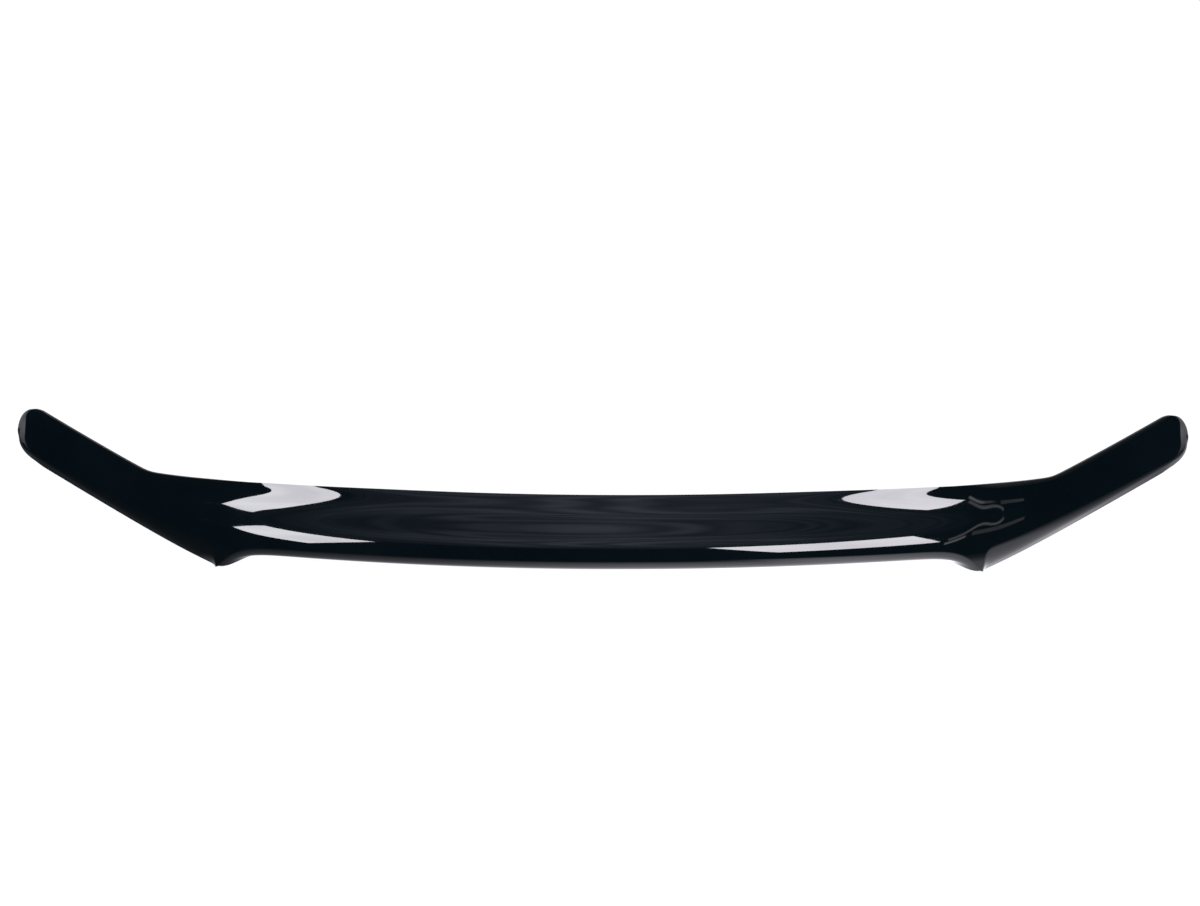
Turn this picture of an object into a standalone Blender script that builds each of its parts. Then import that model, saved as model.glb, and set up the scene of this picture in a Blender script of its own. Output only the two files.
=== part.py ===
"""Hood bug deflector: a smoked acrylic sheet, formed hot in one piece.

The middle has an S section over a rolled lower lip, whose flat ledge goes under the front edge of the hood.
Two raised wings run over the headlamps and end in a short wall. Where a wing meets the middle, the fold line
dips to a pointed cusp, and both lips run out there. Foam tape and rubber bumpers sit on the hidden side.

Metres. X runs across the car, -Y faces forward and Z is up. The origin lies on top of the ledge, in the middle.
"""

import math

import bmesh
import bpy
import numpy as np
from mathutils import Vector

# The sheet, and the gap left where one piece seats on another.
WALL = 0.003
EDGE_ROUND = 0.0005
SEAT_GAP = 0.0003

# The plan, seen from above: one large arc, swept back further on the wings.
TIP_X = 0.6944
PLAN_RADIUS = 1.514
WING_SWEEP = 0.367
SWEEP_START = 0.4875
SWEEP_ELBOW = 0.03

# The front view: the fold line below and the top edge above, both level in the middle.
FACE_HEIGHT = 0.0662
FOLD_RISE = 0.2733
FOLD_START = 0.449
FOLD_ELBOW = 0.002
TOP_RISE = 0.3133
TOP_START = 0.5254
TOP_ELBOW = 0.0036
LOW_CORNER_RADIUS = 0.0136
TIP_STRAIGHT = 0.0112

# The section, as slopes: the lean at the fold line, what it gains by the top edge, the extra halfway up that
# makes the S, how far that extra is drawn down towards the nose, and the flare just below the top edge.
MIDDLE_LEAN = 0.127
MIDDLE_LEAN_GAIN = 0.1685
MIDDLE_COVE = 0.5952
MIDDLE_NOSE = 0.0367
TOP_FLARE = 0.4507
WING_LEAN = 0.1894
WING_LEAN_GAIN = -0.23
WING_COVE = 0.5336
LEAN_BLEND_START = 0.1774
LEAN_BLEND_LENGTH = 0.2889
COVE_BLEND_START = 0.358
COVE_BLEND_LENGTH = 0.1196

# The cusp, where the fold line dips and the lips run out.
CUSP_X = 0.439
CUSP_DIP = 0.0269
CUSP_RUN_INSIDE = 0.019
CUSP_RUN_OUTSIDE = 0.004
CUSP_SHARPNESS = 1.2

# The rolled lip: its radius, the angle it turns through and the straight strip past the roll.
LIP_RADIUS = 0.0106
LEDGE_WIDTH = 0.011
WING_LIP_RADIUS = 0.0295
WING_LIP_TURN = math.radians(54)
WING_STRIP_WIDTH = 0.0058
TIP_LIP_RADIUS = 0.0054
TIP_LIP_TURN = math.radians(41)
TIP_STRIP_WIDTH = 0.0132
# Below this share of its full size the lip ends.
LEAST_LIP = 0.03

# The foam tape, and how far it keeps from the cusp and the tip.
TAPE_THICKNESS = 0.0011
TAPE_WIDTH = 0.008
LEDGE_TAPE_START_X = 0.030
LEDGE_TAPE_CUSP_GAP = 0.078
WING_TAPE_CUSP_GAP = 0.041
WING_TAPE_TIP_GAP = 0.031
WING_TAPE_LIFT = 0.005

# The rubber bumpers.
BUMPER_RADIUS = 0.006
BUMPER_HEIGHT = 0.005
BUMPER_ROUND = 0.001
INNER_BUMPER_X = 0.170
OUTER_BUMPER_TIP_GAP = 0.112
BUMPER_DROP = 0.016

# How finely the surface is divided.
LONG_STEPS = 18
CUSP_STEPS = 6
WING_STEPS = 12
CORNER_STEPS = 4
SIDE_STEPS = 3
ROLL_STEPS = 5
CUSP_REACH = 0.03

# What follows from the sizes above.
LIP_DROP = LIP_RADIUS * (1 + math.sin(math.atan(MIDDLE_LEAN)))
FOLD_Z = LIP_DROP - WALL
FACE_Y = -LIP_RADIUS * math.cos(math.atan(MIDDLE_LEAN)) - LEDGE_WIDTH / 2


def soft_ramp(x, start, elbow):
    """Zero up to start and a slope of 1 after it, with a rounded elbow between."""
    return elbow * np.logaddexp(0.0, (x - start) / elbow)


def ease(t):
    """0 to 1 with level ends."""
    t = np.clip(t, 0.0, 1.0)
    return t**3 * (t * (6 * t - 15) + 10)


def reference_height(x):
    """The fold line without its cusp."""
    return FOLD_Z + FOLD_RISE * soft_ramp(x, FOLD_START, FOLD_ELBOW)


def top_height(x):
    return FOLD_Z + FACE_HEIGHT + TOP_RISE * soft_ramp(x, TOP_START, TOP_ELBOW)


def lip_growth(x):
    """0 at the point of the cusp and 1 away from it."""
    run = np.where(x < CUSP_X, CUSP_RUN_INSIDE, CUSP_RUN_OUTSIDE)
    return 1 - np.exp(-((np.abs(x - CUSP_X) / run) ** CUSP_SHARPNESS))


def fold_height(x):
    return reference_height(x) - CUSP_DIP * (1 - lip_growth(x))


def face_depth(x, z):
    """Y of the outer face. The S section runs on along the wings, where the nose and the flare fade out."""
    height = top_height(x) - reference_height(x)
    t = (z - reference_height(x)) / height
    blend = ease((x - LEAN_BLEND_START) / LEAN_BLEND_LENGTH)
    lean = MIDDLE_LEAN + (WING_LEAN - MIDDLE_LEAN) * blend
    gain = MIDDLE_LEAN_GAIN + (WING_LEAN_GAIN - MIDDLE_LEAN_GAIN) * blend
    blend = ease((x - COVE_BLEND_START) / COVE_BLEND_LENGTH)
    cove = MIDDLE_COVE + (WING_COVE - MIDDLE_COVE) * blend
    fade = 1 - blend
    rising = np.maximum(t, 0.0)
    angle = np.pi * rising
    swing = cove * (1 - np.cos(angle)) / np.pi + MIDDLE_NOSE * fade * (1 - np.cos(2 * angle)) / (2 * np.pi)
    flare = TOP_FLARE * fade * rising**9 / 9
    section = height * (lean * t + gain * t * np.abs(t) / 2 + swing + flare)
    plan = x**2 / (2 * PLAN_RADIUS) + WING_SWEEP * soft_ramp(x, SWEEP_START, SWEEP_ELBOW)
    return FACE_Y + plan + section


def face_points(x, z):
    return np.stack([x, face_depth(x, z), z], axis=-1)


def face_slopes(x, z):
    step = 1e-5
    across = (face_depth(x + step, z) - face_depth(x - step, z)) / (2 * step)
    upward = (face_depth(x, z + step) - face_depth(x, z - step)) / (2 * step)
    return across, upward


def unit(vectors):
    return vectors / np.linalg.norm(vectors, axis=-1, keepdims=True)


def face_normals(x, z):
    """Out of the front of the sheet."""
    across, upward = face_slopes(x, z)
    return unit(np.stack([across, -np.ones_like(across), upward], axis=-1))


def corner_arc(centre_x, centre_z, radius, start, end, steps):
    """Points on an arc of the front view, and their directions of travel."""
    angle = np.linspace(start, end, steps + 1)
    points = np.stack([centre_x + radius * np.cos(angle), centre_z + radius * np.sin(angle)], axis=-1)
    return points, np.stack([-np.sin(angle), np.cos(angle)], axis=-1)


def low_corner():
    """Centre, radius and angles of the arc from the fold line to the tip."""
    slope = math.atan(FOLD_RISE)
    x = TIP_X - LOW_CORNER_RADIUS
    z = float(reference_height(x)) + LOW_CORNER_RADIUS / math.cos(slope)
    return x, z, LOW_CORNER_RADIUS, slope - math.pi / 2, 0.0


def high_corner():
    """Centre, radius and angles of the arc from the tip to the top edge. It takes up the height that is left."""
    slope = math.atan(TOP_RISE)
    z = low_corner()[1] + TIP_STRAIGHT
    radius = (float(top_height(TIP_X)) - z) / (math.tan(slope) + 1 / math.cos(slope))
    return TIP_X - radius, z, radius, 0.0, slope + math.pi / 2


def cross_stations():
    """X of the columns from the middle to the low corner, closer together at the cusp."""
    corner_x, _, radius, start, _ = low_corner()
    end = corner_x + radius * math.cos(start)
    spread = np.linspace(0.0, 1.0, CUSP_STEPS + 1) ** 1.6 * CUSP_REACH
    return np.concatenate(
        [
            np.linspace(0.0, CUSP_X - CUSP_REACH, LONG_STEPS + 1)[:-1],
            CUSP_X - spread[::-1],
            CUSP_X + spread[1:],
            np.linspace(CUSP_X + CUSP_REACH, end, WING_STEPS + 1)[1:],
        ]
    )


def bottom_edge():
    """Points of the fold line, and its directions of travel without the cusp, which the lips hang square to."""
    x = cross_stations()
    step = 1e-5
    slope = (reference_height(x + step) - reference_height(x - step)) / (2 * step)
    points = np.stack([x, fold_height(x)], axis=-1)
    travel = unit(np.stack([np.ones_like(x), slope], axis=-1))
    centre_x, centre_z, radius, start, end = low_corner()
    arc, arc_travel = corner_arc(centre_x, centre_z, radius, start, (start + end) / 2, CORNER_STEPS)
    return np.concatenate([points, arc[1:]]), np.concatenate([travel, arc_travel[1:]])


def tip_edge():
    low_x, low_z, low_radius, start, end = low_corner()
    low, low_travel = corner_arc(low_x, low_z, low_radius, (start + end) / 2, end, CORNER_STEPS)
    high_x, high_z, high_radius, start, end = high_corner()
    high, high_travel = corner_arc(high_x, high_z, high_radius, start, (start + end) / 2, CORNER_STEPS)
    z = np.linspace(low_z, high_z, SIDE_STEPS + 1)[1:-1]
    side = np.stack([np.full_like(z, TIP_X), z], axis=-1)
    upward = np.tile([0.0, 1.0], (len(z), 1))
    return np.concatenate([low, side, high]), np.concatenate([low_travel, upward, high_travel])


def top_edge():
    """From the middle outwards, then down round the high corner."""
    high_x, high_z, radius, start, end = high_corner()
    x = cross_stations()
    x = x * (high_x + radius * math.cos(end)) / x[-1]
    points = np.stack([x, top_height(x)], axis=-1)
    arc, travel = corner_arc(high_x, high_z, radius, end, (start + end) / 2, CORNER_STEPS)
    return np.concatenate([points, arc[1:]]), travel


def patch(bottom, tip, top):
    """The face in the front view, filled in between its four edges."""
    s = np.linspace(0.0, 1.0, len(bottom))[None, :, None]
    t = np.linspace(0.0, 1.0, len(tip))[:, None, None]
    middle = bottom[0] + t[:, 0] * (top[0] - bottom[0])
    across = (1 - t) * bottom[None] + t * top[None]
    upward = (1 - s) * middle[:, None] + s * tip[:, None]
    corners = (1 - s) * ((1 - t) * bottom[0] + t * top[0]) + s * ((1 - t) * bottom[-1] + t * top[-1])
    return across + upward - corners


def tip_fade(edge, side_start, side_end):
    """1 as far as the straight side, 0.5 at the end of it and 0 past the high corner."""
    steps = np.linalg.norm(np.diff(edge, axis=0), axis=1)
    run = np.concatenate([[0.0], np.cumsum(steps)])
    return 1 - ease(np.interp(run, [run[side_start], run[side_end], run[-1]], [0.0, 0.5, 1.0]))


def lip_sizes(x, growth, normals):
    """Radius, turn and strip width of the lip at each station."""
    along = np.clip((x - CUSP_X) / (TIP_X - LOW_CORNER_RADIUS - CUSP_X), 0.0, 1.0)
    on_wing = x > CUSP_X
    lean = normals[:, 2]
    radius = np.where(on_wing, WING_LIP_RADIUS + (TIP_LIP_RADIUS - WING_LIP_RADIUS) * along, LIP_DROP / (1 + lean))
    turn = np.where(on_wing, WING_LIP_TURN + (TIP_LIP_TURN - WING_LIP_TURN) * along, np.pi / 2 + np.arcsin(lean))
    strip = np.where(on_wing, WING_STRIP_WIDTH + (TIP_STRIP_WIDTH - WING_STRIP_WIDTH) * along, LEDGE_WIDTH)
    return radius, turn * growth, strip * growth


def lip_rows(edge, travel, growth):
    """Rows of points from the fold line, round the roll and to the end of the strip."""
    x, z = edge[:, 0], edge[:, 1]
    base, normals = face_points(x, z), face_normals(x, z)
    across, upward = face_slopes(x, z)
    tangent = np.stack([travel[:, 0], across * travel[:, 0] + upward * travel[:, 1], travel[:, 1]], axis=-1)
    outward = unit(np.cross(tangent, normals))
    radius, turn, strip = lip_sizes(x, growth, normals)
    rows = []
    for step in range(1, ROLL_STEPS + 1):
        angle = turn * step / ROLL_STEPS
        forward = (radius * np.sin(angle))[:, None] * outward
        rows.append(base + forward - (radius * (1 - np.cos(angle)))[:, None] * normals)
    heading = np.cos(turn)[:, None] * outward - np.sin(turn)[:, None] * normals
    rows.append(rows[-1] + strip[:, None] * heading)
    return rows


def face_at(mesh, corners):
    """A face between these vertices, where a repeated one is taken once."""
    distinct = [vertex for index, vertex in enumerate(corners) if vertex not in corners[:index]]
    if len(distinct) > 2:
        mesh.faces.new(distinct)


def half_shield():
    """The outer surface of one half, as an open sheet."""
    bottom, bottom_travel = bottom_edge()
    tip, tip_travel = tip_edge()
    top, corner_travel = top_edge()
    plan = patch(bottom, tip, top)
    points = face_points(plan[..., 0], plan[..., 1])
    mesh = bmesh.new()
    grid = [[mesh.verts.new(point) for point in row] for row in points]
    for low, high in zip(grid, grid[1:]):
        for index in range(len(low) - 1):
            mesh.faces.new([low[index], low[index + 1], high[index + 1], high[index]])

    rim = grid[0] + [row[-1] for row in grid[1:]] + grid[-1][-2 : -2 - CORNER_STEPS : -1]
    edge = np.concatenate([bottom, tip[1:], top[-2 : -2 - CORNER_STEPS : -1]])
    travel = np.concatenate([bottom_travel, tip_travel[1:], corner_travel[-2::-1]])
    side_start = len(bottom) - 1 + CORNER_STEPS
    growth = lip_growth(edge[:, 0]) * tip_fade(edge, side_start, side_start + SIDE_STEPS)
    growth[growth < LEAST_LIP] = 0.0
    previous = rim
    for row in lip_rows(edge, travel, growth):
        made = [rim[i] if growth[i] == 0.0 else mesh.verts.new(row[i]) for i in range(len(rim))]
        for i in range(len(rim) - 1):
            face_at(mesh, [previous[i], made[i], made[i + 1], previous[i + 1]])
        previous = made
    return mesh


def material(name, colour, roughness, ior):
    made = bpy.data.materials.new(name)
    made.use_nodes = True
    shader = made.node_tree.nodes["Principled BSDF"]
    shader.inputs["Base Color"].default_value = (*colour, 1.0)
    shader.inputs["Roughness"].default_value = roughness
    shader.inputs["IOR"].default_value = ior
    return made


def add_object(name, mesh, finish):
    data = bpy.data.meshes.new(name)
    mesh.to_mesh(data)
    mesh.free()
    data.materials.append(finish)
    made = bpy.data.objects.new(name, data)
    deflector.objects.link(made)
    return made


def add_mirror(made):
    mirror = made.modifiers.new("other half", "MIRROR")
    mirror.use_clip = True
    mirror.merge_threshold = 0.00001


def add_thickness(made, thickness, offset):
    """offset -1 thickens towards the back of each face and 1 towards its front."""
    solidify = made.modifiers.new("thickness", "SOLIDIFY")
    solidify.thickness = thickness
    solidify.offset = offset
    solidify.use_even_offset = True
    solidify.use_quality_normals = True


def add_rounding(made, width):
    bevel = made.modifiers.new("rounded edges", "BEVEL")
    bevel.width = width
    bevel.segments = 1
    bevel.limit_method = "ANGLE"
    bevel.angle_limit = math.radians(60)


def make_shield():
    finish = material("smoked acrylic", (0.006, 0.007, 0.008), 0.05, 1.49)
    shield = add_object("deflector_shield", half_shield(), finish)
    add_mirror(shield)
    add_thickness(shield, WALL, -1.0)
    add_rounding(shield, EDGE_ROUND)


def ribbon(lower, upper):
    """An open strip between two rows of points."""
    mesh = bmesh.new()
    rows = [[mesh.verts.new(point) for point in row] for row in (lower, upper)]
    for i in range(len(lower) - 1):
        mesh.faces.new([rows[0][i], rows[0][i + 1], rows[1][i + 1], rows[1][i]])
    return mesh


def ledge_line(x, reach):
    """Points on top of the ledge, this far past the end of the roll."""
    z = fold_height(x)
    normals = face_normals(x, z)
    back = unit(np.stack([-normals[:, 0], -normals[:, 1], np.zeros_like(x)], axis=-1))
    radius = LIP_DROP / (1 + normals[:, 2])
    drawn_back = radius * np.sqrt(1 - normals[:, 2] ** 2) + reach
    points = face_points(x, z) + drawn_back[:, None] * back
    points[:, 2] = 0.0
    return points


def make_ledge_tape(name, side, finish):
    """Foam tape on top of the ledge. It takes its line from the ledge's own width."""
    x = np.linspace(LEDGE_TAPE_START_X, CUSP_X - LEDGE_TAPE_CUSP_GAP, LONG_STEPS)
    margin = (LEDGE_WIDTH - TAPE_WIDTH) / 2
    lines = [ledge_line(x, reach) for reach in (margin, LEDGE_WIDTH - margin)]
    for line in lines:
        line[:, 2] = SEAT_GAP
        line[:, 0] *= side
    tape = add_object(name, ribbon(*(lines if side > 0 else lines[::-1])), finish)
    add_thickness(tape, TAPE_THICKNESS, 1.0)


def make_wing_tape(name, side, finish):
    """Foam tape on the back of a wing, just above its fold line."""
    x = np.linspace(CUSP_X + WING_TAPE_CUSP_GAP, TIP_X - WING_TAPE_TIP_GAP, WING_STEPS)
    lines = []
    for lift in (WING_TAPE_LIFT, WING_TAPE_LIFT + TAPE_WIDTH):
        z = reference_height(x) + lift
        line = face_points(x, z) - (WALL + SEAT_GAP) * face_normals(x, z)
        line[:, 0] *= side
        lines.append(line)
    tape = add_object(name, ribbon(*(lines if side > 0 else lines[::-1])), finish)
    add_thickness(tape, TAPE_THICKNESS, -1.0)


def make_bumper(name, x, side, finish):
    """A rubber bumper behind the top edge, square to the sheet."""
    z = float(top_height(x)) - BUMPER_DROP
    at = face_points(np.array([x]), np.array([z]))[0]
    normal = face_normals(np.array([x]), np.array([z]))[0]
    centre = at - (WALL + SEAT_GAP + BUMPER_HEIGHT / 2) * normal
    mirrored = np.array([side, 1.0, 1.0])
    bpy.ops.mesh.primitive_cylinder_add(
        vertices=24, radius=BUMPER_RADIUS, depth=BUMPER_HEIGHT, location=centre * mirrored
    )
    bumper = bpy.context.object
    bumper.name = name
    bumper.rotation_mode = "QUATERNION"
    bumper.rotation_quaternion = Vector(normal * mirrored).to_track_quat("Z", "Y")
    bumper.data.materials.append(finish)
    bumper.users_collection[0].objects.unlink(bumper)
    deflector.objects.link(bumper)
    add_rounding(bumper, BUMPER_ROUND)


for leftover in list(bpy.data.objects):
    bpy.data.objects.remove(leftover)
deflector = bpy.data.collections.new("hood_bug_deflector")
bpy.context.scene.collection.children.link(deflector)

make_shield()
foam = material("foam tape", (0.03, 0.03, 0.032), 0.9, 1.45)
rubber = material("rubber", (0.02, 0.02, 0.02), 0.6, 1.5)
for word, side in (("left", -1), ("right", 1)):
    make_ledge_tape(f"ledge_tape_{word}", side, foam)
    make_wing_tape(f"wing_tape_{word}", side, foam)
    make_bumper(f"inner_bumper_{word}", INNER_BUMPER_X, side, rubber)
    make_bumper(f"outer_bumper_{word}", TIP_X - OUTER_BUMPER_TIP_GAP, side, rubber)
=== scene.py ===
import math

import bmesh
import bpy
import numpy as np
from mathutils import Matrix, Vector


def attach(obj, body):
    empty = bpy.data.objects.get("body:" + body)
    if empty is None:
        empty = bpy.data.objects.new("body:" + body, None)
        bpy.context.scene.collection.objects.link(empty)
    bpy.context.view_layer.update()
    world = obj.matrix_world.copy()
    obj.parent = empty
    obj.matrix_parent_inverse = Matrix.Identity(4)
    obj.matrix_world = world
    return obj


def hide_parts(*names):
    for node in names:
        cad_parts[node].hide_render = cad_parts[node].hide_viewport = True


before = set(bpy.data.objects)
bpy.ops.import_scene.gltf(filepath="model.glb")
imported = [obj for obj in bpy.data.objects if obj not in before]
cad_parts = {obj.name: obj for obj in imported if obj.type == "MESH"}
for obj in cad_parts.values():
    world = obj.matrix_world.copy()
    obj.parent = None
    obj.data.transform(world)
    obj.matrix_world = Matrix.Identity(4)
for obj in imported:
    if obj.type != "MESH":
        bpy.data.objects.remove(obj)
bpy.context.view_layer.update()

# Looks of the hood bug deflector. The formed sheet is made again from the sizes of the solid, but
# divided more finely, with rounder bends in its section and a crease at its ends. Then come its
# finish and those of the tape and the bumpers, the studio that the gloss reflects, and the camera.
# Metres. X runs across the car, -Y faces forward and Z is up. The origin lies on top of the ledge,
# in the middle.

# The sheet, and how its cut edges are rounded.
WALL = 0.003
EDGE_ROUND = 0.0005
EDGE_SEGMENTS = 3
EDGE_ANGLE = math.radians(60)

# The plan, seen from above: one large arc, swept back further on the wings.
TIP_X = 0.6944
PLAN_RADIUS = 1.514
WING_SWEEP = 0.367
SWEEP_START = 0.4875
SWEEP_ELBOW = 0.03

# The front view: the fold line below and the top edge above, both level in the middle.
FACE_HEIGHT = 0.0662
FOLD_RISE = 0.2733
FOLD_START = 0.449
FOLD_ELBOW = 0.002
TOP_RISE = 0.3133
TOP_START = 0.5254
TOP_ELBOW = 0.0036
LOW_CORNER_RADIUS = 0.0136
TIP_STRAIGHT = 0.0112

# The section, as slopes: the lean at the fold line, what it gains by the top edge, the extra
# halfway up that makes the S, how far that extra is drawn down towards the nose, and the flare
# below the top edge, which a higher power keeps closer to that edge.
MIDDLE_LEAN = 0.127
MIDDLE_LEAN_GAIN = 0.1685
MIDDLE_COVE = 0.5952
MIDDLE_NOSE = 0.0367
TOP_FLARE = 0.4507
FLARE_POWER = 9
WING_LEAN = 0.1894
WING_LEAN_GAIN = -0.23
WING_COVE = 0.5336
LEAN_BLEND_START = 0.1774
LEAN_BLEND_LENGTH = 0.2889
COVE_BLEND_START = 0.358
COVE_BLEND_LENGTH = 0.1196

# The section's own elbows are rounder than those of the outline, so that no crease runs up the
# face.
SECTION_ELBOW = 0.0075

# The cusp, where the fold line dips and the lips run out.
CUSP_X = 0.439
CUSP_DIP = 0.0269
CUSP_RUN_INSIDE = 0.019
CUSP_RUN_OUTSIDE = 0.004
CUSP_SHARPNESS = 1.2

# The rolled lip: its radius, the angle it turns through and the straight strip past the roll.
LIP_RADIUS = 0.0106
LEDGE_WIDTH = 0.011
WING_LIP_RADIUS = 0.0295
WING_LIP_TURN = math.radians(54)
WING_STRIP_WIDTH = 0.0058
TIP_LIP_RADIUS = 0.0054
TIP_LIP_TURN = math.radians(41)
TIP_STRIP_WIDTH = 0.0132
# Below this share of its full size the lip ends.
LEAST_LIP = 0.01

# The end of each wing turns back by this slope past a crease. The crease is upright between its
# low and its high end. Below and above them it bends inwards with the square of the distance,
# and below it stops doing so past the reach.
END_SLOPE = 0.3
END_CREASE_X = 0.6895
END_CREASE_LOW = 0.088
END_CREASE_HIGH = 0.108
END_CREASE_BEND_BELOW = 30
END_CREASE_BEND_ABOVE = 60
END_CREASE_REACH = 0.028
END_CREASE_SOFTNESS = 0.0007

# How finely the sheet is divided. The columns crowd together towards the cusp, within its reach.
LONG_STEPS = 110
CUSP_STEPS = 22
WING_STEPS = 56
CORNER_STEPS = 18
SIDE_STEPS = 8
ROLL_STEPS = 14
CUSP_REACH = 0.03
CUSP_CROWDING = 1.6

# The step over which slopes are measured, and the gaps that are closed where the two halves meet
# and between points that all but coincide.
SLOPE_STEP = 1e-5
SEAM_GAP = 0.00001
SLIVER = 0.000002

# What follows from the sizes above.
LIP_DROP = LIP_RADIUS * (1 + math.sin(math.atan(MIDDLE_LEAN)))
FOLD_Z = LIP_DROP - WALL
FACE_Y = -LIP_RADIUS * math.cos(math.atan(MIDDLE_LEAN)) - LEDGE_WIDTH / 2

# Finishes: the two colours that each one varies between, and its refractive index. The cut edge
# reflects less than the face, as its gloss says.
ACRYLIC_COLOURS = ((0.0012, 0.0024, 0.0031), (0.0019, 0.0034, 0.0044))
EDGE_COLOURS = ((0.004, 0.006, 0.008), (0.012, 0.015, 0.018))
FOAM_COLOURS = ((0.012, 0.012, 0.013), (0.055, 0.055, 0.058))
RUBBER_COLOURS = ((0.014, 0.014, 0.014), (0.040, 0.038, 0.036))
ACRYLIC_IOR = 1.49
FOAM_IOR = 1.45
RUBBER_IOR = 1.52
EDGE_GLOSS = 0.2

# The camera: the point it looks at, how far off it stands, its turn, tilt and roll, and its lens
# and sensor in millimetres.
LOOK_AT = Vector((0.0008, 0.1 + FACE_Y, 0.0996 + FOLD_Z))
CAMERA_DISTANCE = 3.6
CAMERA_YAW = 0.0155
CAMERA_TILT = math.radians(15.355)
CAMERA_ROLL = 0.0018
CAMERA_LENS = 94.04
SENSOR_WIDTH = 36.0

# The studio: how far the softboxes stand from its centre, and their corners as seen from there,
# as (turn, height) in degrees. A turn of 0 is straight in front and positive is towards +X.
STUDIO_CENTRE = Vector((0.0, FACE_Y, 0.04 + FOLD_Z))
SOFTBOX_DISTANCE = 2.2
LEFT_SOFTBOX = ((-56.0, 31.1), (-54.4, 39.3), (-35.5, 36.5), (-40.8, 21.6))
RIGHT_SOFTBOX = ((46.9, 22.9), (48.2, 37.4), (16.5, 40.5), (23.9, 22.1))
SOFTBOX_STRENGTH = 17.0
# The cloth varies between these two colours, and by these shares of its strength.
SOFTBOX_COLOURS = ((0.93, 0.92, 1.0), (0.97, 0.96, 1.0))
SOFTBOX_SHARES = (0.92, 1.08)

# Dim strips of light at the right, each with its strength and its corners as (turn, height).
STRIPS = (
    (1.14, ((48.3, 22.6), (57.0, 32.9), (57.3, 34.1), (49.2, 26.4))),
    (1.81, ((46.9, 19.7), (53.0, 27.6), (52.0, 24.5), (46.0, 15.1))),
    (0.57, ((55.0, 29.8), (63.5, 27.5), (62.5, 24.8), (53.5, 25.3))),
)

# The white floor: its height, half its width, how strongly it glows, and the share of that glow
# in its look. The rest is matt, with this colour and roughness.
FLOOR_Z = -0.0215
FLOOR_HALF = 30.0
FLOOR_STRENGTH = 1.05
FLOOR_GLOW_SHARE = 0.93
FLOOR_COLOUR = (0.9, 0.9, 0.9)
FLOOR_ROUGHNESS = 0.9

# The lit floor in the gloss: two opposite corners of its plane, how far that lies below the
# floor, the colour of the glow, and the light that is left where the glow has faded.
GLOW_CORNERS = ((-1.5, -1.2), (1.5, 0.7))
GLOW_DROP = 0.001
GLOW_COLOUR = (1.0, 0.99, 1.06)
FADED_COLOUR = (0.66, 0.78, 1.0)
FADED_STRENGTH = 0.045
# By X: how bright the glow is right under the shield, and over how many metres it fades towards
# the front.
GLOW_STOPS = (
    (-0.47, 0.02),
    (-0.42, 0.5),
    (-0.3, 0.9),
    (-0.18, 1.35),
    (-0.06, 2.1),
    (0.06, 3.0),
    (0.3, 3.3),
    (0.42, 2.1),
    (0.5, 1.4),
    (0.57, 1.3),
    (0.64, 0.7),
    (0.74, 0.33),
    (0.9, 0.18),
    (1.2, 0.1),
)
GLOW_REACH_STOPS = (
    (-0.5, 0.09),
    (-0.2, 0.07),
    (0.2, 0.09),
    (0.4, 0.55),
    (0.6, 1.4),
    (0.8, 3.0),
)
# Past this distance ahead of the shield it fades no further.
GLOW_FURTHEST = 3.0

# The ceiling in the gloss, as (position, brightness). The position is how far sideways the gloss
# looks, plus a lift that grows from the first value to the second between level and overhead.
CEILING_STOPS = (
    (-0.2, 0.55),
    (0.0, 0.55),
    (0.12, 0.52),
    (0.225, 0.45),
    (0.38, 0.28),
    (0.435, 0.15),
    (0.55, 0.04),
    (0.62, 0.0),
)
CEILING_LIFT = (-1.08, 0.42)
CEILING_TINT = (0.98, 1.04, 1.27)
# It begins between these two heights, and ends between these two directions towards the back.
CEILING_START = (0.62, 0.80)
CEILING_END = (0.15, -0.15)
# How dark and how bright its boards and their grain are, and how many lines the grain has.
BOARD_RANGE = (0.65, 1.35)
GRAIN_RANGE = (0.65, 1.4)
GRAIN_LINES = 70.0

# Grey screens beside and behind the shield: how bright they are by how far up the gloss looks,
# where they begin in front, and where they dim behind and to what share.
SCREEN_STOPS = (
    (-0.5, 0.0),
    (-0.3, 0.35),
    (0.0, 0.65),
    (0.2, 1.1),
    (0.38, 2.3),
    (0.55, 2.1),
    (0.8, 0.2),
)
SCREEN_TINT = (1.0, 1.0, 1.06)
SCREEN_START = (-0.07, 0.03)
SCREEN_DIMMING = (0.5, 1.0)
SCREEN_DIMMED = 0.22

# The dark room that the gloss sees otherwise, and the white fill light that matt surfaces get.
ROOM_TINT = (0.1, 0.55, 1.0)
ROOM_STRENGTH = 0.06
WHITE = (1.0, 1.0, 1.0)
FILL_STRENGTH = 0.55


def soft_ramp(x, start, elbow):
    """Zero up to start and a slope of 1 after it, with a rounded elbow between."""
    return elbow * np.logaddexp(0.0, (x - start) / elbow)


def ease(t):
    """0 to 1 with level ends."""
    t = np.clip(t, 0.0, 1.0)
    return t**3 * (t * (6 * t - 15) + 10)


def reference_height(x):
    """Z of the fold line without its cusp."""
    return FOLD_Z + FOLD_RISE * soft_ramp(x, FOLD_START, FOLD_ELBOW)


def top_height(x):
    """Z of the top edge."""
    return FOLD_Z + FACE_HEIGHT + TOP_RISE * soft_ramp(x, TOP_START, TOP_ELBOW)


def lip_growth(x):
    """0 at the point of the cusp and 1 away from it."""
    run = np.where(x < CUSP_X, CUSP_RUN_INSIDE, CUSP_RUN_OUTSIDE)
    return 1 - np.exp(-((np.abs(x - CUSP_X) / run) ** CUSP_SHARPNESS))


def fold_height(x):
    """Z of the fold line with its cusp."""
    return reference_height(x) - CUSP_DIP * (1 - lip_growth(x))


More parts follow.
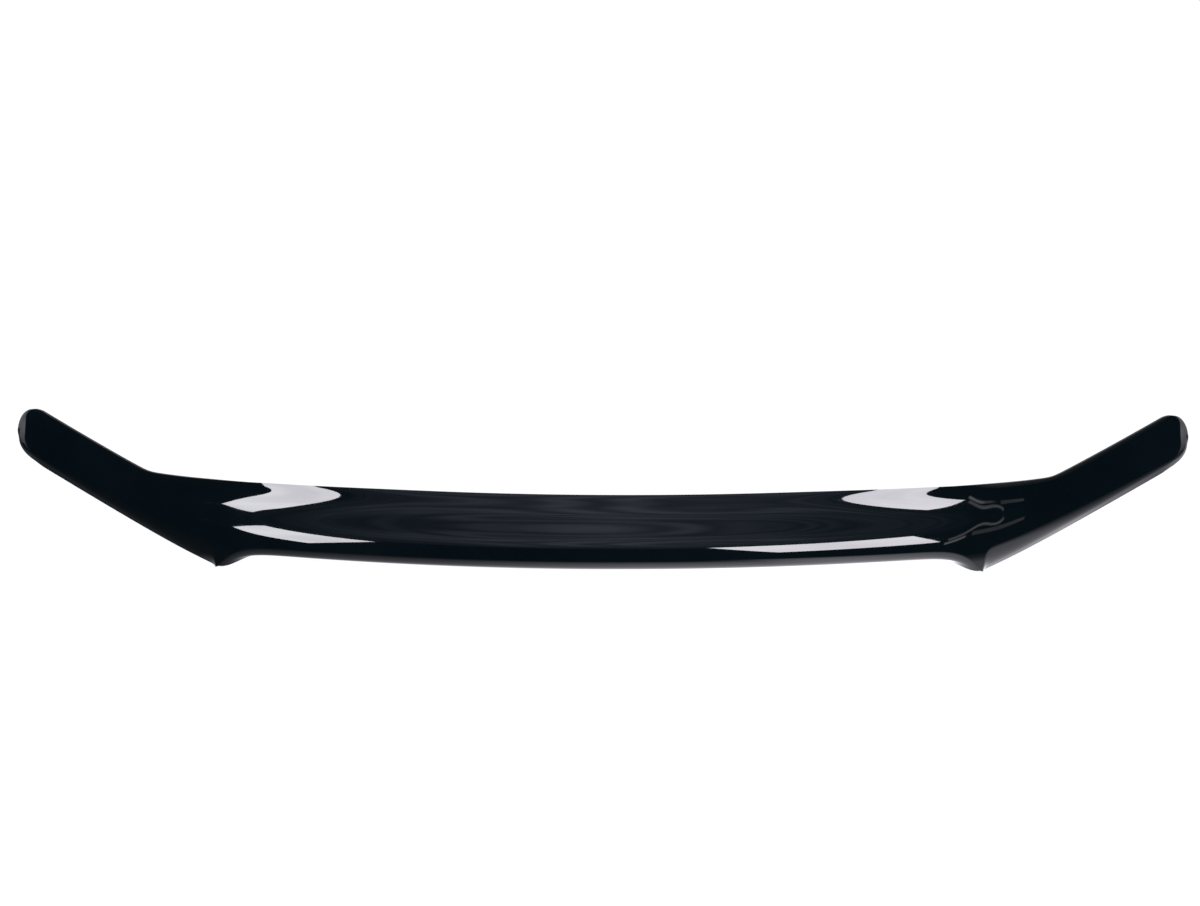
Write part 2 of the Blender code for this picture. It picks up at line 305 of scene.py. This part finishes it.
def face_depth(x, z):
    """Y of the outer face. The S runs on along the wings, where the nose and the flare fade out."""
    base = FOLD_Z + FOLD_RISE * soft_ramp(x, FOLD_START, SECTION_ELBOW)
    top = FOLD_Z + FACE_HEIGHT + TOP_RISE * soft_ramp(x, TOP_START, SECTION_ELBOW)
    height = top - base
    t = (z - base) / height
    blend = ease((x - LEAN_BLEND_START) / LEAN_BLEND_LENGTH)
    lean = MIDDLE_LEAN + (WING_LEAN - MIDDLE_LEAN) * blend
    gain = MIDDLE_LEAN_GAIN + (WING_LEAN_GAIN - MIDDLE_LEAN_GAIN) * blend
    blend = ease((x - COVE_BLEND_START) / COVE_BLEND_LENGTH)
    cove = MIDDLE_COVE + (WING_COVE - MIDDLE_COVE) * blend
    fade = 1 - blend
    rising = np.maximum(t, 0.0)
    angle = np.pi * rising
    nose = MIDDLE_NOSE * fade * (1 - np.cos(2 * angle)) / (2 * np.pi)
    swing = cove * (1 - np.cos(angle)) / np.pi + nose
    flare = TOP_FLARE * fade * rising**FLARE_POWER / FLARE_POWER
    section = height * (lean * t + gain * t * np.abs(t) / 2 + swing + flare)
    plan = x**2 / (2 * PLAN_RADIUS) + WING_SWEEP * soft_ramp(x, SWEEP_START, SWEEP_ELBOW)
    return FACE_Y + plan + section


def face_points(x, z):
    """Points of the outer face."""
    return np.stack([x, face_depth(x, z), z], axis=-1)


def face_slopes(x, z):
    """How much Y grows per metre across, and per metre upward."""
    step = SLOPE_STEP
    across = (face_depth(x + step, z) - face_depth(x - step, z)) / (2 * step)
    upward = (face_depth(x, z + step) - face_depth(x, z - step)) / (2 * step)
    return across, upward


def unit(vectors):
    """The same directions with a length of 1."""
    return vectors / np.linalg.norm(vectors, axis=-1, keepdims=True)


def face_normals(x, z):
    """Unit vectors out of the front of the sheet."""
    across, upward = face_slopes(x, z)
    return unit(np.stack([across, -np.ones_like(across), upward], axis=-1))


def corner_arc(centre_x, centre_z, radius, start, end, steps):
    """Points on an arc of the front view, and the directions in which its angle grows."""
    angle = np.linspace(start, end, steps + 1)
    x, z = centre_x + radius * np.cos(angle), centre_z + radius * np.sin(angle)
    return np.stack([x, z], axis=-1), np.stack([-np.sin(angle), np.cos(angle)], axis=-1)


def low_corner():
    """Centre, radius and angles of the arc from the fold line to the tip."""
    slope = math.atan(FOLD_RISE)
    x = TIP_X - LOW_CORNER_RADIUS
    z = float(reference_height(x)) + LOW_CORNER_RADIUS / math.cos(slope)
    return x, z, LOW_CORNER_RADIUS, slope - math.pi / 2, 0.0


def high_corner():
    """The same for the arc from the tip to the top edge, which takes up the height that is left."""
    slope = math.atan(TOP_RISE)
    z = low_corner()[1] + TIP_STRAIGHT
    radius = (float(top_height(TIP_X)) - z) / (math.tan(slope) + 1 / math.cos(slope))
    return TIP_X - radius, z, radius, 0.0, slope + math.pi / 2


def cross_stations():
    """X of the columns from the middle to the low corner, closer together at the cusp."""
    corner_x, _, radius, start, _ = low_corner()
    end = corner_x + radius * math.cos(start)
    spread = np.linspace(0.0, 1.0, CUSP_STEPS + 1) ** CUSP_CROWDING * CUSP_REACH
    return np.concatenate(
        [
            np.linspace(0.0, CUSP_X - CUSP_REACH, LONG_STEPS + 1)[:-1],
            CUSP_X - spread[::-1],
            CUSP_X + spread[1:],
            np.linspace(CUSP_X + CUSP_REACH, end, WING_STEPS + 1)[1:],
        ]
    )


def bottom_edge():
    """Points from the middle along the fold line and halfway round the low corner, and directions.

    The directions leave the cusp out, because the lips hang square to the line without it.
    """
    x = cross_stations()
    rise = reference_height(x + SLOPE_STEP) - reference_height(x - SLOPE_STEP)
    points = np.stack([x, fold_height(x)], axis=-1)
    travel = unit(np.stack([np.ones_like(x), rise / (2 * SLOPE_STEP)], axis=-1))
    centre_x, centre_z, radius, start, end = low_corner()
    middle = (start + end) / 2
    arc, arc_travel = corner_arc(centre_x, centre_z, radius, start, middle, CORNER_STEPS)
    return np.concatenate([points, arc[1:]]), np.concatenate([travel, arc_travel[1:]])


def tip_edge():
    """Points from halfway round the low corner to halfway round the high one, and directions."""
    low_x, low_z, low_radius, start, end = low_corner()
    middle = (start + end) / 2
    low, low_travel = corner_arc(low_x, low_z, low_radius, middle, end, CORNER_STEPS)
    high_x, high_z, high_radius, start, end = high_corner()
    middle = (start + end) / 2
    high, high_travel = corner_arc(high_x, high_z, high_radius, start, middle, CORNER_STEPS)
    z = np.linspace(low_z, high_z, SIDE_STEPS + 1)[1:-1]
    side = np.stack([np.full_like(z, TIP_X), z], axis=-1)
    upward = np.tile([0.0, 1.0], (len(z), 1))
    return np.concatenate([low, side, high]), np.concatenate([low_travel, upward, high_travel])


def top_edge():
    """Points from the middle outwards and halfway round the high corner.

    The directions are those of the corner alone, and point from the tip to the top edge.
    """
    high_x, high_z, radius, start, end = high_corner()
    x = cross_stations()
    x = x * (high_x + radius * math.cos(end)) / x[-1]
    points = np.stack([x, top_height(x)], axis=-1)
    arc, travel = corner_arc(high_x, high_z, radius, end, (start + end) / 2, CORNER_STEPS)
    return np.concatenate([points, arc[1:]]), travel


def patch(bottom, tip, top):
    """The face in the front view, filled in between its edges. The one at X = 0 is straight."""
    s = np.linspace(0.0, 1.0, len(bottom))[None, :, None]
    t = np.linspace(0.0, 1.0, len(tip))[:, None, None]
    middle = bottom[0] + t[:, 0] * (top[0] - bottom[0])
    across = (1 - t) * bottom[None] + t * top[None]
    upward = (1 - s) * middle[:, None] + s * tip[:, None]
    inner = (1 - t) * bottom[0] + t * top[0]
    outer = (1 - t) * bottom[-1] + t * top[-1]
    return across + upward - ((1 - s) * inner + s * outer)


def tip_fade(edge, side_start, side_end):
    """1 as far as the straight side, 0.5 at the end of it and 0 at the end of the edge."""
    steps = np.linalg.norm(np.diff(edge, axis=0), axis=1)
    run = np.concatenate([[0.0], np.cumsum(steps)])
    return 1 - ease(np.interp(run, [run[side_start], run[side_end], run[-1]], [0.0, 0.5, 1.0]))


def lip_sizes(x, growth, normals):
    """Radius, turn and strip width of the lip at each station."""
    along = np.clip((x - CUSP_X) / (TIP_X - LOW_CORNER_RADIUS - CUSP_X), 0.0, 1.0)
    lean = normals[:, 2]
    wing_radius = WING_LIP_RADIUS + (TIP_LIP_RADIUS - WING_LIP_RADIUS) * along
    wing_turn = WING_LIP_TURN + (TIP_LIP_TURN - WING_LIP_TURN) * along
    wing_strip = WING_STRIP_WIDTH + (TIP_STRIP_WIDTH - WING_STRIP_WIDTH) * along
    on_wing = x > CUSP_X
    radius = np.where(on_wing, wing_radius, LIP_DROP / (1 + lean))
    turn = np.where(on_wing, wing_turn, np.pi / 2 + np.arcsin(lean))
    strip = np.where(on_wing, wing_strip, LEDGE_WIDTH)
    return radius, turn * growth, strip * growth


def lip_rows(edge, travel, growth):
    """Rows of points from the fold line, round the roll and to the end of the strip."""
    x, z = edge[:, 0], edge[:, 1]
    base, normals = face_points(x, z), face_normals(x, z)
    across, upward = face_slopes(x, z)
    deeper = across * travel[:, 0] + upward * travel[:, 1]
    tangent = np.stack([travel[:, 0], deeper, travel[:, 1]], axis=-1)
    outward = unit(np.cross(tangent, normals))
    radius, turn, strip = lip_sizes(x, growth, normals)
    rows = []
    for step in range(1, ROLL_STEPS + 1):
        angle = turn * step / ROLL_STEPS
        forward = (radius * np.sin(angle))[:, None] * outward
        rows.append(base + forward - (radius * (1 - np.cos(angle)))[:, None] * normals)
    heading = np.cos(turn)[:, None] * outward - np.sin(turn)[:, None] * normals
    rows.append(rows[-1] + strip[:, None] * heading)
    return rows


def face_at(mesh, corners):
    """A face between these vertices, where a repeated one is taken once."""
    distinct = [vertex for index, vertex in enumerate(corners) if vertex not in corners[:index]]
    if len(distinct) > 2:
        mesh.faces.new(distinct)


def end_turn(x, z):
    """How far back a point lies because the end of the wing turns away."""
    below = min(max(END_CREASE_LOW - z, 0.0), END_CREASE_REACH)
    above = max(z - END_CREASE_HIGH, 0.0)
    crease = END_CREASE_X - END_CREASE_BEND_BELOW * below**2 - END_CREASE_BEND_ABOVE * above**2
    return END_SLOPE * float(soft_ramp(x, crease, END_CREASE_SOFTNESS))


def half_shield():
    """The outer surface of one half, as an open sheet."""
    bottom, bottom_travel = bottom_edge()
    tip, tip_travel = tip_edge()
    top, corner_travel = top_edge()
    plan = patch(bottom, tip, top)
    points = face_points(plan[..., 0], plan[..., 1])
    mesh = bmesh.new()
    grid = [[mesh.verts.new(point) for point in row] for row in points]
    for low, high in zip(grid, grid[1:]):
        for index in range(len(low) - 1):
            mesh.faces.new([low[index], low[index + 1], high[index + 1], high[index]])

    # The lip hangs from the bottom edge, the tip and the rest of the high corner.
    rest = slice(-2, -2 - CORNER_STEPS, -1)
    rim = grid[0] + [row[-1] for row in grid[1:]] + grid[-1][rest]
    edge = np.concatenate([bottom, tip[1:], top[rest]])
    travel = np.concatenate([bottom_travel, tip_travel[1:], corner_travel[-2::-1]])
    side_start = len(bottom) - 1 + CORNER_STEPS
    growth = lip_growth(edge[:, 0]) * tip_fade(edge, side_start, side_start + SIDE_STEPS)
    growth[growth < LEAST_LIP] = 0.0
    previous = rim
    for row in lip_rows(edge, travel, growth):
        made = [rim[i] if growth[i] == 0.0 else mesh.verts.new(row[i]) for i in range(len(rim))]
        for i in range(len(rim) - 1):
            face_at(mesh, [previous[i], made[i], made[i + 1], previous[i + 1]])
        previous = made
    for vertex in mesh.verts:
        vertex.co.y += end_turn(vertex.co.x, vertex.co.z)
    return mesh


class Nodes:
    """Short calls for building the nodes of a material, or of the world."""

    def __init__(self, name, world=False):
        self.made = bpy.data.worlds.new(name) if world else bpy.data.materials.new(name)
        self.made.use_nodes = True
        self.tree = self.made.node_tree
        self.shader = self.tree.nodes.get("Principled BSDF")
        self.output = self.tree.nodes["World Output" if world else "Material Output"]
        self.light_kind = "ShaderNodeBackground" if world else "ShaderNodeEmission"
        self.place = self.add("ShaderNodeTexCoord").outputs["Generated" if world else "Object"]

    def add(self, kind, **settings):
        """A new node of this kind, with these settings."""
        node = self.tree.nodes.new(kind)
        for key, value in settings.items():
            setattr(node, key, value)
        return node

    def feed(self, socket, value):
        """Links an output to this socket, or sets its number, numbers or colour."""
        if isinstance(value, bpy.types.NodeSocket):
            self.tree.links.new(value, socket)
        elif socket.type == "RGBA":
            socket.default_value = (*value, 1.0)
        else:
            socket.default_value = value

    def axes(self):
        """X, Y and Z of the place, or of the direction if this is the world."""
        node = self.add("ShaderNodeSeparateXYZ")
        self.feed(node.inputs["Vector"], self.place)
        return node.outputs["X"], node.outputs["Y"], node.outputs["Z"]

    def stretched(self, scale):
        """The place, scaled by (x, y, z)."""
        node = self.add("ShaderNodeMapping")
        self.feed(node.inputs["Scale"], scale)
        self.feed(node.inputs["Vector"], self.place)
        return node.outputs["Vector"]

    def noise(self, size, detail=2.0, roughness=0.5, scale=(1.0, 1.0, 1.0), distortion=0.0):
        """Noise between 0 and 1, with features about this many metres across."""
        node = self.add("ShaderNodeTexNoise")
        self.feed(node.inputs["Scale"], 1.0 / size)
        self.feed(node.inputs["Detail"], detail)
        self.feed(node.inputs["Roughness"], roughness)
        self.feed(node.inputs["Distortion"], distortion)
        self.feed(node.inputs["Vector"], self.stretched(scale))
        return node.outputs["Fac"]

    def cells(self, size):
        """Distance to the nearest cell centre, for cells about this many metres across."""
        node = self.add("ShaderNodeTexVoronoi")
        self.feed(node.inputs["Scale"], 1.0 / size)
        self.feed(node.inputs["Vector"], self.stretched((1.0, 1.0, 1.0)))
        return node.outputs["Distance"]

    def spread(self, value, source, target=(0.0, 1.0), kind="LINEAR"):
        """value taken from the source range to the target range, and held at both ends."""
        node = self.add("ShaderNodeMapRange", interpolation_type=kind)
        for socket, number in zip(("From Min", "From Max", "To Min", "To Max"), source + target):
            self.feed(node.inputs[socket], number)
        self.feed(node.inputs["Value"], value)
        return node.outputs["Result"]

    def soft_step(self, value, low, high):
        """0 below low, 1 above high and smooth between. With low above high it falls instead."""
        if low < high:
            return self.spread(value, (low, high), kind="SMOOTHSTEP")
        return self.spread(value, (high, low), (1.0, 0.0), "SMOOTHSTEP")

    def stops(self, value, pairs):
        """value looked up between these (position, level) pairs."""
        low, high = pairs[0][0], pairs[-1][0]
        most = max(level for _, level in pairs)
        node = self.add("ShaderNodeValToRGB")
        ramp = node.color_ramp
        while len(ramp.elements) < len(pairs):
            ramp.elements.new(0.5)
        for element, (position, level) in zip(ramp.elements, pairs):
            grey = level / most
            element.position = (position - low) / (high - low)
            element.color = (grey, grey, grey, 1.0)
        self.feed(node.inputs["Fac"], self.spread(value, (low, high)))
        return self.times(node.outputs["Color"], most)

    def maths(self, operation, *values):
        """This operation on one or two values."""
        node = self.add("ShaderNodeMath", operation=operation)
        for socket, value in zip(node.inputs, values):
            self.feed(socket, value)
        return node.outputs["Value"]

    def times(self, first, second):
        """The product of two values."""
        return self.maths("MULTIPLY", first, second)

    def plus(self, first, second):
        """The sum of two values."""
        return self.maths("ADD", first, second)

    def colours(self, value, pair):
        """The first colour of the pair where value is 0, and the second where it is 1."""
        node = self.add("ShaderNodeMix", data_type="RGBA")
        for socket, part in zip(("Factor", "A", "B"), (value, *pair)):
            self.feed(node.inputs[socket], part)
        return node.outputs["Result"]

    def light(self, colour, strength):
        """Light of this colour, from the surface or from all round the world."""
        node = self.add(self.light_kind)
        self.feed(node.inputs["Color"], colour)
        self.feed(node.inputs["Strength"], strength)
        return node.outputs[0]

    def mixed(self, share, first, second):
        """The first shader where share is 0, and the second where it is 1."""
        node = self.add("ShaderNodeMixShader")
        for socket, value in zip(node.inputs, (share, first, second)):
            self.feed(socket, value)
        return node.outputs["Shader"]

    def sum_of(self, first, second):
        """Two shaders added up."""
        node = self.add("ShaderNodeAddShader")
        for socket, value in zip(node.inputs, (first, second)):
            self.feed(socket, value)
        return node.outputs["Shader"]

    def show(self, shader):
        """Gives this shader to the material or the world, and returns that."""
        self.feed(self.output.inputs["Surface"], shader)
        return self.made

    def finish(self, colour, roughness, ior, relief, depth):
        """The material with this colour, roughness and refractive index, and a relief this deep."""
        for name, value in (("Base Color", colour), ("Roughness", roughness), ("IOR", ior)):
            self.feed(self.shader.inputs[name], value)
        node = self.add("ShaderNodeBump")
        self.feed(node.inputs["Strength"], 1.0)
        self.feed(node.inputs["Distance"], depth)
        self.feed(node.inputs["Height"], relief)
        self.feed(self.shader.inputs["Normal"], node.outputs["Normal"])
        return self.made


def smoked_acrylic():
    """Smoked nearly to black, with specks of dust and the faint waves that hot forming leaves."""
    nodes = Nodes("smoked acrylic gloss")
    tint = nodes.spread(nodes.noise(0.11, detail=3.0, roughness=0.55), (0.35, 0.65))
    cloud = nodes.noise(0.035, detail=4.0, roughness=0.6)
    haze = nodes.spread(cloud, (0.35, 0.7), (0.018, 0.040))
    specks = nodes.spread(nodes.cells(0.0035), (0.0, 0.05), (0.05, 0.0))
    return nodes.finish(
        colour=nodes.colours(tint, ACRYLIC_COLOURS),
        roughness=nodes.plus(haze, specks),
        ior=ACRYLIC_IOR,
        relief=nodes.noise(0.07, detail=1.0, roughness=0.4, scale=(1.0, 1.0, 1.6)),
        depth=0.000025,
    )


def cut_edge():
    """The sheet's cut edge: flame-polished satin with fine marks along it."""
    nodes = Nodes("cut acrylic edge")
    nodes.feed(nodes.shader.inputs["Specular IOR Level"], EDGE_GLOSS)
    marks = nodes.noise(0.0012, scale=(0.15, 1.0, 1.0))
    return nodes.finish(
        colour=nodes.colours(marks, EDGE_COLOURS),
        roughness=nodes.spread(marks, (0.3, 0.7), (0.22, 0.42)),
        ior=ACRYLIC_IOR,
        relief=marks,
        depth=0.00008,
    )


def foam():
    """Closed-cell foam tape, with its pores cut open along the edges."""
    nodes = Nodes("closed-cell foam")
    open_pores = nodes.spread(nodes.cells(0.0007), (0.12, 0.45))
    mottle = nodes.noise(0.004, detail=3.0, roughness=0.6)
    return nodes.finish(
        colour=nodes.colours(nodes.times(open_pores, mottle), FOAM_COLOURS),
        roughness=nodes.spread(mottle, (0.3, 0.7), (0.82, 0.96)),
        ior=FOAM_IOR,
        relief=open_pores,
        depth=0.00022,
    )


def bumper_rubber():
    """Moulded rubber with a fine grain and a little dust."""
    nodes = Nodes("moulded rubber")
    dust = nodes.spread(nodes.noise(0.0028, detail=4.0, roughness=0.65), (0.45, 0.75))
    return nodes.finish(
        colour=nodes.colours(dust, RUBBER_COLOURS),
        roughness=nodes.spread(dust, (0.0, 1.0), (0.48, 0.72)),
        ior=RUBBER_IOR,
        relief=nodes.cells(0.0005),
        depth=0.00005,
    )


def add_object(name, data):
    """A new object of the scene, with this mesh or camera."""
    made = bpy.data.objects.new(name, data)
    bpy.context.scene.collection.objects.link(made)
    return made


def add_quad(name, points, finish):
    """A new object that is one flat face between four points."""
    data = bpy.data.meshes.new(name)
    data.from_pydata(points, [], [(0, 1, 2, 3)])
    data.materials.append(finish)
    return add_object(name, data)


def level_corners(low, high, z):
    """The corners of a level rectangle, from two opposite ones as (x, y)."""
    return [(low[0], low[1], z), (high[0], low[1], z), (high[0], high[1], z), (low[0], high[1], z)]


def make_sheet():
    """The shield that shows in place of its solid."""
    data = bpy.data.meshes.new("shield_sheet")
    mesh = half_shield()
    mesh.to_mesh(data)
    mesh.free()
    data.polygons.foreach_set("use_smooth", [True] * len(data.polygons))
    data.materials.append(smoked_acrylic())
    data.materials.append(cut_edge())
    sheet = add_object("shield_sheet", data)
    mirror = sheet.modifiers.new("other half", "MIRROR")
    mirror.use_clip = True
    mirror.merge_threshold = SEAM_GAP
    solidify = sheet.modifiers.new("thickness", "SOLIDIFY")
    solidify.thickness = WALL
    solidify.offset = -1.0
    solidify.use_even_offset = True
    solidify.use_quality_normals = True
    solidify.material_offset_rim = 1
    bevel = sheet.modifiers.new("rounded edges", "BEVEL")
    bevel.width = EDGE_ROUND
    bevel.segments = EDGE_SEGMENTS
    bevel.limit_method = "ANGLE"
    bevel.angle_limit = EDGE_ANGLE
    bevel.harden_normals = True
    weld = sheet.modifiers.new("no slivers", "WELD")
    weld.merge_threshold = SLIVER
    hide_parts("deflector_shield")
    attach(sheet, "root")


def finish_node(name, finish):
    """Gives this finish to a solid that shows as it is."""
    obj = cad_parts[name]
    for slot in obj.material_slots:
        slot.material = finish


def direction(turn, height):
    """A unit vector from the centre of the studio, by a turn and a height in degrees."""
    turn, height = math.radians(turn), math.radians(height)
    level = math.cos(height)
    return Vector((math.sin(turn) * level, -math.cos(turn) * level, math.sin(height)))


def softbox_cloth(name, strength):
    """The lit front of a softbox or a strip, a little uneven and faintly lavender."""
    nodes = Nodes(name)
    mottle = nodes.noise(0.35)
    least, most = SOFTBOX_SHARES
    uneven = nodes.spread(mottle, (0.3, 0.7), (least * strength, most * strength))
    return nodes.show(nodes.light(nodes.colours(mottle, SOFTBOX_COLOURS), uneven))


def make_softbox(name, corners, finish):
    """A lit quad of the studio, which only its light and its reflection show."""
    points = [STUDIO_CENTRE + SOFTBOX_DISTANCE * direction(*corner) for corner in corners]
    box = add_quad(name, points, finish)
    box.visible_camera = False


def make_floor():
    """A plain white floor that glows, with a small matt share that the shield can shade."""
    nodes = Nodes("white floor")
    nodes.feed(nodes.shader.inputs["Base Color"], FLOOR_COLOUR)
    nodes.feed(nodes.shader.inputs["Roughness"], FLOOR_ROUGHNESS)
    glow = nodes.light(WHITE, FLOOR_STRENGTH)
    finish = nodes.show(nodes.mixed(FLOOR_GLOW_SHARE, nodes.shader.outputs["BSDF"], glow))
    low, high = (-FLOOR_HALF, -FLOOR_HALF), (FLOOR_HALF, FLOOR_HALF)
    floor = add_quad("floor", level_corners(low, high, FLOOR_Z), finish)
    floor.visible_glossy = False


def make_floor_glow():
    """The floor as the gloss sees it, seen by nothing else: lit under the shield, then darker."""
    nodes = Nodes("lit floor")
    x, y, _ = nodes.axes()
    # How far back the shield's front lies at this X, and how far ahead of that this spot is.
    arc = nodes.times(nodes.times(x, x), 0.5 / PLAN_RADIUS)
    swept = nodes.spread(nodes.maths("ABSOLUTE", x), (SWEEP_START, SWEEP_START + 1.0))
    plan = nodes.plus(arc, nodes.times(swept, WING_SWEEP))
    reach = (0.0, GLOW_FURTHEST)
    ahead = nodes.spread(nodes.plus(plan, nodes.times(y, -1.0)), reach, reach)
    share = nodes.maths("DIVIDE", ahead, nodes.stops(x, GLOW_REACH_STOPS))
    fade = nodes.maths("EXPONENT", nodes.times(share, -1.0))
    glow = nodes.light(GLOW_COLOUR, nodes.times(nodes.stops(x, GLOW_STOPS), fade))
    finish = nodes.show(nodes.sum_of(glow, nodes.light(FADED_COLOUR, FADED_STRENGTH)))
    floor = add_quad("floor_glow", level_corners(*GLOW_CORNERS, FLOOR_Z - GLOW_DROP), finish)
    floor.visible_camera = False
    floor.visible_diffuse = False
    floor.visible_shadow = False


def ceiling_light(nodes, right, back, up):
    """A ceiling of grained boards, in front of the shield and fading out to the sides."""
    lift = nodes.spread(up, (0.0, 1.0), CEILING_LIFT)
    run = nodes.stops(nodes.plus(nodes.maths("ABSOLUTE", right), lift), CEILING_STOPS)
    boards = nodes.noise(0.1, detail=3.0, roughness=0.6, scale=(0.3, 0.0, 6.0), distortion=0.3)
    figure = nodes.noise(0.3, detail=1.0, roughness=0.4, scale=(0.35, 0.0, 3.0), distortion=0.2)
    lines = nodes.maths("SINE", nodes.times(figure, GRAIN_LINES))
    grain = nodes.spread(lines, (-1.0, 1.0), GRAIN_RANGE)
    wood = nodes.times(nodes.spread(boards, (0.3, 0.7), BOARD_RANGE), grain)
    edge = nodes.times(nodes.soft_step(up, *CEILING_START), nodes.soft_step(back, *CEILING_END))
    return nodes.times(nodes.times(run, wood), edge)


def side_screens(nodes, back, up):
    """Soft grey screens at both sides, which run on dimmer behind the shield."""
    dimming = nodes.spread(back, SCREEN_DIMMING, (1.0, SCREEN_DIMMED))
    width = nodes.times(nodes.soft_step(back, *SCREEN_START), dimming)
    return nodes.times(nodes.stops(up, SCREEN_STOPS), width)


def make_world():
    """White to the camera, a soft fill to the matt surfaces, and a dark room to the gloss."""
    nodes = Nodes("studio", world=True)
    right, back, up = nodes.axes()
    white = nodes.tree.nodes["Background"]
    nodes.feed(white.inputs["Color"], WHITE)
    fill = nodes.light(WHITE, FILL_STRENGTH)
    dark = nodes.light(ROOM_TINT, ROOM_STRENGTH)
    above = nodes.light(CEILING_TINT, ceiling_light(nodes, right, back, up))
    beside = nodes.light(SCREEN_TINT, side_screens(nodes, back, up))
    room = nodes.sum_of(dark, nodes.sum_of(above, beside))
    path = nodes.add("ShaderNodeLightPath")
    lit = nodes.mixed(path.outputs["Is Diffuse Ray"], room, fill)
    seen = nodes.mixed(path.outputs["Is Camera Ray"], lit, white.outputs["Background"])
    bpy.context.scene.world = nodes.show(seen)


def make_camera():
    """The camera, fitted to the photo."""
    data = bpy.data.cameras.new("camera")
    data.lens = CAMERA_LENS
    data.sensor_width = SENSOR_WIDTH
    data.sensor_fit = "HORIZONTAL"
    data.clip_end = 100.0
    camera = add_object("camera", data)
    level = math.cos(CAMERA_TILT)
    backward = Vector(
        (math.sin(CAMERA_YAW) * level, -math.cos(CAMERA_YAW) * level, math.sin(CAMERA_TILT))
    )
    right = Vector((0.0, 0.0, 1.0)).cross(backward).normalized()
    up = backward.cross(right)
    turned_right = math.cos(CAMERA_ROLL) * right + math.sin(CAMERA_ROLL) * up
    turned_up = math.cos(CAMERA_ROLL) * up - math.sin(CAMERA_ROLL) * right
    axes = Matrix((turned_right, turned_up, backward)).transposed()
    camera.matrix_world = Matrix.Translation(LOOK_AT + CAMERA_DISTANCE * backward) @ axes.to_4x4()
    bpy.context.scene.camera = camera


make_sheet()
tape_finish = foam()
rubber_finish = bumper_rubber()
for side in ("left", "right"):
    finish_node(f"ledge_tape_{side}", tape_finish)
    finish_node(f"wing_tape_{side}", tape_finish)
    finish_node(f"inner_bumper_{side}", rubber_finish)
    finish_node(f"outer_bumper_{side}", rubber_finish)

make_floor()
make_floor_glow()
softbox_finish = softbox_cloth("softbox", SOFTBOX_STRENGTH)
make_softbox("left_softbox", LEFT_SOFTBOX, softbox_finish)
make_softbox("right_softbox", RIGHT_SOFTBOX, softbox_finish)
for number, (strength, corners) in enumerate(STRIPS, 1):
    make_softbox(f"strip_{number}", corners, softbox_cloth(f"strip {number}", strength))
make_world()
make_camera()
bpy.context.scene.view_settings.view_transform = "Standard"
